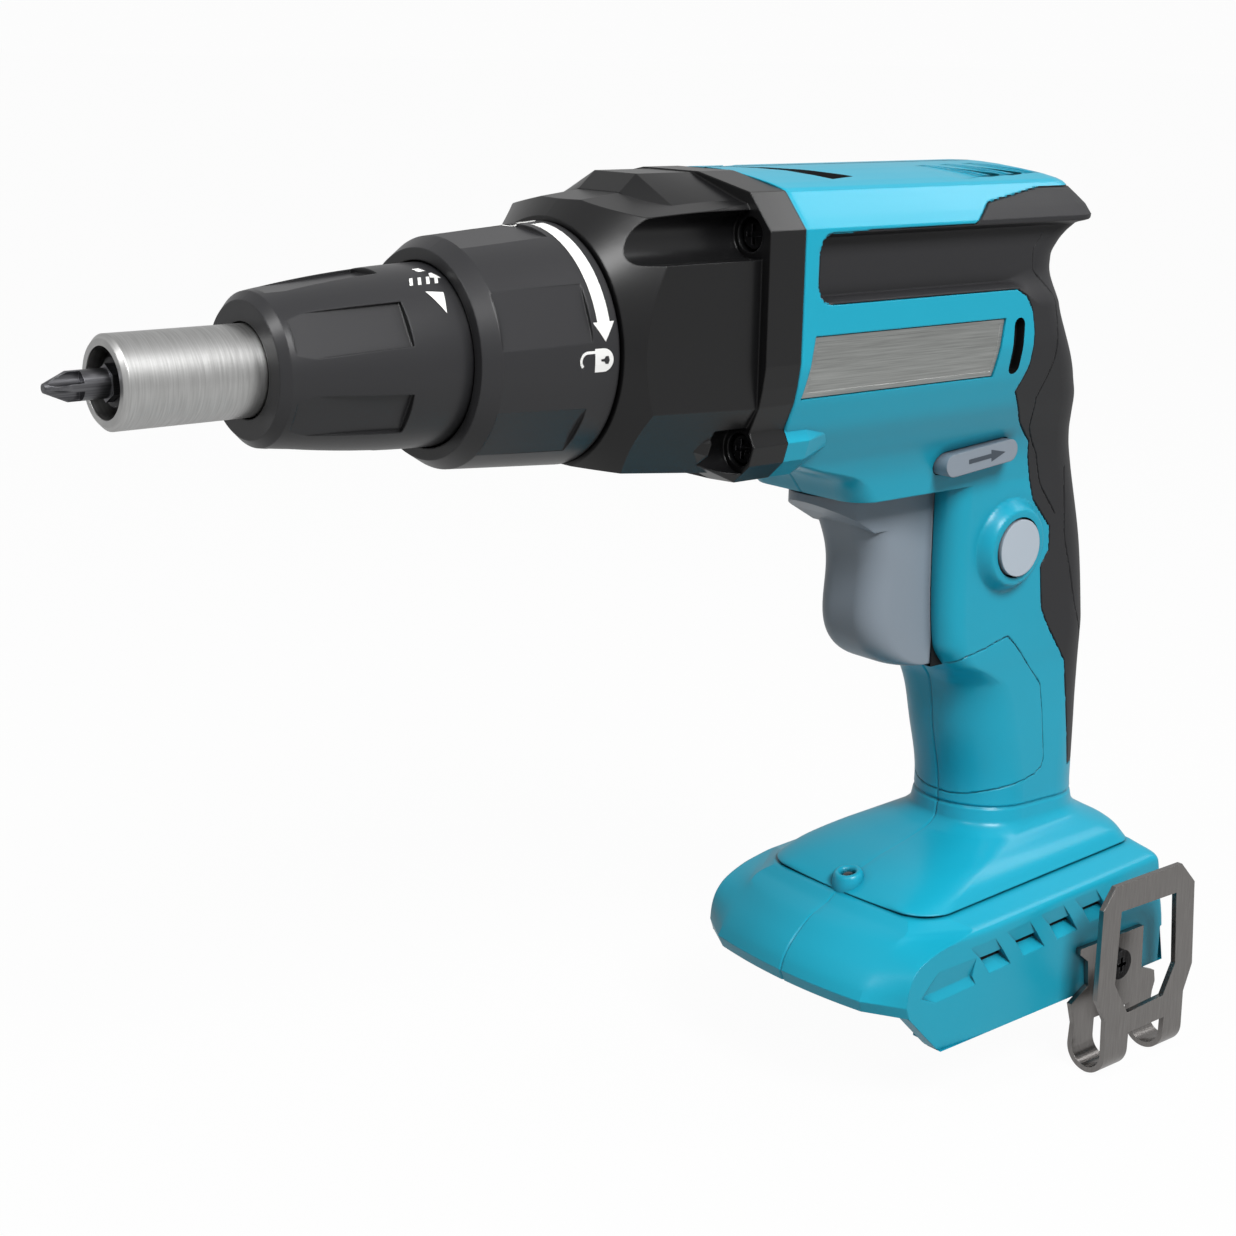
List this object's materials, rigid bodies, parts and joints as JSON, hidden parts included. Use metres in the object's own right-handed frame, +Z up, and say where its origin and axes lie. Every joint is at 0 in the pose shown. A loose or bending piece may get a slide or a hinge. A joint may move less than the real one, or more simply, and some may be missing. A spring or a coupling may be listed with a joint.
{
  "type": "drywall screwdriver",
  "caption": "Pistol-grip cordless drywall screwdriver with a depth-setting nose, lock ring, trigger, lock button, reversing lever, open battery foot and side belt clip.",
  "frame": {"origin": "centre of the depth locator's front face, on the drive axis", "axes": "+X from the nose to the rear along the drive axis, +Z up, the tool's left side is -Y"},
  "size_m": [0.3074, 0.089, 0.2375],
  "materials": {
    "teal_abs": "satin moulded",
    "black_rubber": "matte moulded",
    "black_nylon": "satin moulded",
    "grey_nylon": "satin moulded",
    "satin_steel": "satin turned",
    "dark_steel": "hardened",
    "spring_steel": "drawn wire",
    "black_screw": "black oxide",
    "magnet": "nickel plated",
    "bronze": "sintered",
    "cast_aluminium": "die cast",
    "motor_steel": "laminated",
    "copper": "drawn",
    "circuit_board": "potted",
    "black_plastic": "moulded",
    "brushed_plate": "brushed",
    "grey_plastic": "satin moulded",
    "lens": "clear moulded",
    "dark_nickel": "plated spring steel"
  },
  "bodies": {
    "tool_body": {"bearing_plate": "cast_aluminium", "belt_clip": "dark_nickel", "clip_screw": "black_screw", "controller_board": "circuit_board", "gear_bearing": "dark_steel", "gear_case": "black_nylon", "gear_case_screws": "black_screw", "housing_left": "teal_abs", "housing_right": "teal_abs", "housing_screws": "black_screw", "led_lens": "lens", "motor_bearing_front": "dark_steel", "motor_bearing_rear": "dark_steel", "name_plate_left": "brushed_plate", "name_plate_right": "brushed_plate", "rubber_cover_left": "black_rubber", "rubber_cover_right": "black_rubber", "sensor_board": "circuit_board", "spindle_bush": "bronze", "stator_coils": "copper", "stator_core": "motor_steel", "switch_body": "black_plastic", "terminal_blades": "copper", "terminal_block": "black_plastic"},
    "nose": {"nose_tube": "grey_nylon", "collar_snap_ring": "dark_steel"},
    "lock_ring": {"lock_ring": "grey_nylon"},
    "depth_collar": {"depth_collar": "grey_nylon"},
    "locator_tip": {"locator_tip": "satin_steel"},
    "thrust_washer": {"thrust_washer": "dark_steel"},
    "spindle": {"spindle": "dark_steel", "bit_holder": "dark_steel", "bit_magnet": "magnet", "driver_bit": "dark_steel", "clutch_plate": "dark_steel", "clutch_spring": "spring_steel"},
    "rotor": {"motor_shaft": "dark_steel", "motor_pinion": "dark_steel", "rotor_core": "motor_steel", "cooling_fan": "black_plastic"},
    "drive_gear": {"drive_gear": "dark_steel"},
    "trigger": {"trigger": "grey_plastic", "trigger_spring": "spring_steel"},
    "lock_button": {"lock_button": "grey_plastic"},
    "reverse_lever": {"reverse_lever": "grey_plastic"}
  },
  "joints": [
    {"name": "nose_release", "type": "slide", "parent": "tool_body", "child": "nose", "axis": [-1, 0, 0], "range_m": [0, 0.06]},
    {"name": "lock_ring_turn", "type": "hinge", "parent": "nose", "child": "lock_ring", "pos_m": [0.09, 0, 0], "axis": [1, 0, 0], "range_deg": [0, 50]},
    {"name": "depth_collar_turn", "type": "hinge", "parent": "nose", "child": "depth_collar", "pos_m": [0.055, 0, 0], "axis": [1, 0, 0], "range_deg": [-545, 545]},
    {"name": "locator_slide", "type": "slide", "parent": "nose", "child": "locator_tip", "axis": [1, 0, 0], "range_m": [-0.003, 0.003]},
    {"name": "spindle_push", "type": "slide", "parent": "tool_body", "child": "thrust_washer", "axis": [1, 0, 0], "range_m": [0, 0.0027], "stiffness_N_per_m": 2500, "springref_m": -0.002, "deforming": ["clutch_spring"]},
    {"name": "bit_spin", "type": "hinge", "parent": "thrust_washer", "child": "spindle", "pos_m": [0.06, 0, 0], "axis": [1, 0, 0], "continuous": true},
    {"name": "rotor_spin", "type": "hinge", "parent": "tool_body", "child": "rotor", "pos_m": [0.18, 0, 0.0135], "axis": [1, 0, 0], "continuous": true},
    {"name": "gear_spin", "type": "hinge", "parent": "tool_body", "child": "drive_gear", "pos_m": [0.13, 0, 0], "axis": [1, 0, 0], "continuous": true},
    {"name": "trigger_pull", "type": "slide", "parent": "tool_body", "child": "trigger", "axis": [1, 0, 0], "range_m": [0, 0.006], "stiffness_N_per_m": 900, "springref_m": -0.004, "deforming": ["trigger_spring"]},
    {"name": "lock_button_press", "type": "slide", "parent": "tool_body", "child": "lock_button", "axis": [0, 1, 0], "range_m": [0, 0.003], "stiffness_N_per_m": 600, "springref_m": -0.003},
    {"name": "reverse_lever_shift", "type": "slide", "parent": "tool_body", "child": "reverse_lever", "axis": [0, 1, 0], "range_m": [-0.003, 0.003]}
  ],
  "couplings": [
    {"joint": "depth_collar_turn", "follows": "locator_slide", "rad_per_m": 3141.6},
    {"joint": "gear_spin", "follows": "rotor_spin", "ratio": -0.28571}
  ]
}
